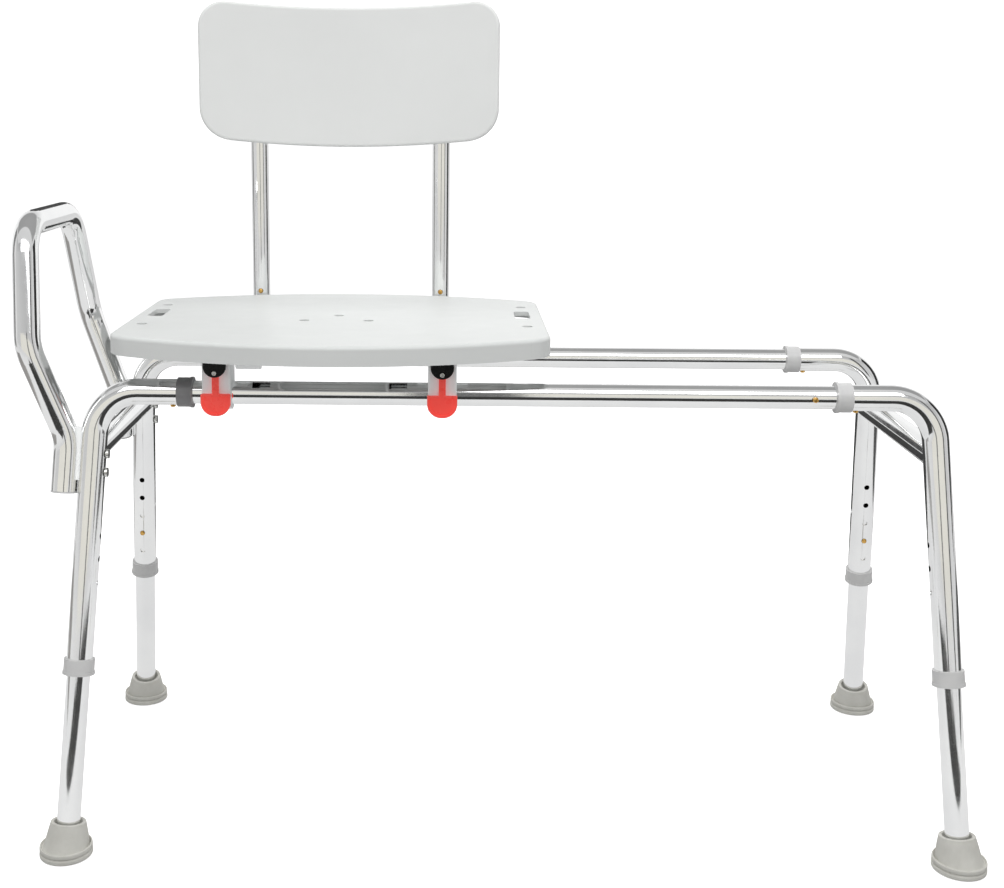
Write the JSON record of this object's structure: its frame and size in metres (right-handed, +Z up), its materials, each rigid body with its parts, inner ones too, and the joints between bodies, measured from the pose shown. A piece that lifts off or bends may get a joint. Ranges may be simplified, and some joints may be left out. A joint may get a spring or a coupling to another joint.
{
  "type": "bath transfer bench",
  "caption": "Sliding bath transfer bench: a moulded seat with a raised backrest runs on two rails between splayed, height-adjustable legs, with a side arm and red locking levers.",
  "frame": {"origin": "bottom centre of the bench's overall box, on the floor", "axes": "+Z up; the sitter faces -Y; +X is the sitter's left, the way the seat slides from its home by the side arm at -X"},
  "size_m": [1.0619, 0.4656, 0.9375],
  "materials": {
    "aluminium_tube": "polished and bright anodised",
    "seat_plastic": "fine grained, light grey",
    "grey_collar": "smooth, light grey",
    "grey_collar_dark": "smooth, mid grey",
    "grey_rubber": "matt, grey",
    "white_plastic": "smooth, white",
    "red_plastic": "semi-gloss, red",
    "black_plastic": "semi-gloss, black",
    "brass_button": "bright",
    "steel_fastener": "bright zinc plated"
  },
  "bodies": {
    "frame": {"leg_frame_front_left": "aluminium_tube", "rail_collar_front_left": "grey_collar_dark", "leg_collar_front_left": "grey_collar", "leg_frame_front_right": "aluminium_tube", "rail_collar_front_right": "grey_collar", "leg_collar_front_right": "grey_collar", "leg_frame_rear_left": "aluminium_tube", "rail_collar_rear_left": "grey_collar", "leg_collar_rear_left": "grey_collar", "leg_frame_rear_right": "aluminium_tube", "rail_collar_rear_right": "grey_collar", "leg_collar_rear_right": "grey_collar", "front_rail": "aluminium_tube", "rear_rail": "aluminium_tube", "cross_brace_left": "aluminium_tube", "cross_brace_right": "aluminium_tube", "side_arm": "aluminium_tube", "arm_plugs": "black_plastic", "arm_bracket_front": "white_plastic", "arm_bracket_rear": "white_plastic", "arm_bolts": "steel_fastener"},
    "seat": {"seat_panel": "seat_plastic", "backrest_panel": "seat_plastic", "seat_screws": "steel_fastener", "carrier_screws": "steel_fastener", "lever_pins": "steel_fastener", "backrest_screws": "steel_fastener", "post_plugs": "black_plastic", "back_carrier_left": "aluminium_tube", "back_post_left": "aluminium_tube", "lever_cap_left": "black_plastic", "slide_block_front_left": "white_plastic", "slide_block_rear_left": "white_plastic", "back_carrier_right": "aluminium_tube", "back_post_right": "aluminium_tube", "lever_cap_right": "black_plastic", "slide_block_front_right": "white_plastic", "slide_block_rear_right": "white_plastic"},
    "lock_lever_left": {"lock_lever_left": "red_plastic"},
    "lock_lever_right": {"lock_lever_right": "red_plastic"},
    "leg_front_left": {"lower_leg_front_left": "aluminium_tube", "foot_tip_front_left": "grey_rubber"},
    "leg_button_front_left": {"leg_button_front_left": "brass_button"},
    "rail_button_front_left": {"rail_button_front_left": "brass_button"},
    "leg_front_right": {"lower_leg_front_right": "aluminium_tube", "foot_tip_front_right": "grey_rubber"},
    "leg_button_front_right": {"leg_button_front_right": "brass_button"},
    "rail_button_front_right": {"rail_button_front_right": "brass_button"},
    "leg_rear_left": {"lower_leg_rear_left": "aluminium_tube", "foot_tip_rear_left": "grey_rubber"},
    "leg_button_rear_left": {"leg_button_rear_left": "brass_button"},
    "rail_button_rear_left": {"rail_button_rear_left": "brass_button"},
    "leg_rear_right": {"lower_leg_rear_right": "aluminium_tube", "foot_tip_rear_right": "grey_rubber"},
    "leg_button_rear_right": {"leg_button_rear_right": "brass_button"},
    "rail_button_rear_right": {"rail_button_rear_right": "brass_button"},
    "stop_button": {"stop_button": "brass_button"},
    "back_button_left": {"back_button_left": "brass_button"},
    "back_button_right": {"back_button_right": "brass_button"}
  },
  "joints": [
    {"name": "seat_slide", "type": "slide", "parent": "frame", "child": "seat", "axis": [1, 0, 0], "range_m": [0, 0.3822]},
    {"name": "lock_lever_left_swing", "type": "hinge", "parent": "seat", "child": "lock_lever_left", "pos_m": [-0.30315, -0.136, 0.524], "axis": [0, -1, 0], "range_deg": [0, 90]},
    {"name": "lock_lever_right_swing", "type": "hinge", "parent": "seat", "child": "lock_lever_right", "pos_m": [-0.05815, -0.136, 0.524], "axis": [0, 1, 0], "range_deg": [0, 90]},
    {"name": "leg_height_front_left", "type": "slide", "parent": "frame", "child": "leg_front_left", "axis": [0.057, 0.174, 0.9831], "range_m": [-0.0254, 0.0762], "deforming": ["leg_button_front_left"]},
    {"name": "leg_button_front_left_press", "type": "slide", "parent": "leg_front_left", "child": "leg_button_front_left", "axis": [0.0101, -0.9847, 0.1737], "range_m": [0, 0.004], "stiffness_N_per_m": 800},
    {"name": "rail_button_front_left_press", "type": "slide", "parent": "frame", "child": "rail_button_front_left", "axis": [0, 0, 1], "range_m": [0, 0.004], "stiffness_N_per_m": 800},
    {"name": "leg_height_front_right", "type": "slide", "parent": "frame", "child": "leg_front_right", "axis": [-0.057, 0.174, 0.9831], "range_m": [-0.0254, 0.0762], "deforming": ["leg_button_front_right"]},
    {"name": "leg_button_front_right_press", "type": "slide", "parent": "leg_front_right", "child": "leg_button_front_right", "axis": [-0.0101, -0.9847, 0.1737], "range_m": [0, 0.004], "stiffness_N_per_m": 800},
    {"name": "rail_button_front_right_press", "type": "slide", "parent": "frame", "child": "rail_button_front_right", "axis": [0, 0, 1], "range_m": [0, 0.004], "stiffness_N_per_m": 800},
    {"name": "leg_height_rear_left", "type": "slide", "parent": "frame", "child": "leg_rear_left", "axis": [0.057, -0.174, 0.9831], "range_m": [-0.0254, 0.0762], "deforming": ["leg_button_rear_left"]},
    {"name": "leg_button_rear_left_press", "type": "slide", "parent": "leg_rear_left", "child": "leg_button_rear_left", "axis": [0.0101, 0.9847, 0.1737], "range_m": [0, 0.004], "stiffness_N_per_m": 800},
    {"name": "rail_button_rear_left_press", "type": "slide", "parent": "frame", "child": "rail_button_rear_left", "axis": [0, 0, 1], "range_m": [0, 0.004], "stiffness_N_per_m": 800},
    {"name": "leg_height_rear_right", "type": "slide", "parent": "frame", "child": "leg_rear_right", "axis": [-0.057, -0.174, 0.9831], "range_m": [-0.0254, 0.0762], "deforming": ["leg_button_rear_right"]},
    {"name": "leg_button_rear_right_press", "type": "slide", "parent": "leg_rear_right", "child": "leg_button_rear_right", "axis": [-0.0101, 0.9847, 0.1737], "range_m": [0, 0.004], "stiffness_N_per_m": 800},
    {"name": "rail_button_rear_right_press", "type": "slide", "parent": "frame", "child": "rail_button_rear_right", "axis": [0, 0, 1], "range_m": [0, 0.004], "stiffness_N_per_m": 800},
    {"name": "stop_button_press", "type": "slide", "parent": "frame", "child": "stop_button", "axis": [0, 1, 0], "range_m": [0, 0.004], "stiffness_N_per_m": 800},
    {"name": "back_button_left_press", "type": "slide", "parent": "seat", "child": "back_button_left", "axis": [0, 1, 0], "range_m": [0, 0.00398], "stiffness_N_per_m": 800},
    {"name": "back_button_right_press", "type": "slide", "parent": "seat", "child": "back_button_right", "axis": [0, 1, 0], "range_m": [0, 0.00398], "stiffness_N_per_m": 800}
  ]
}
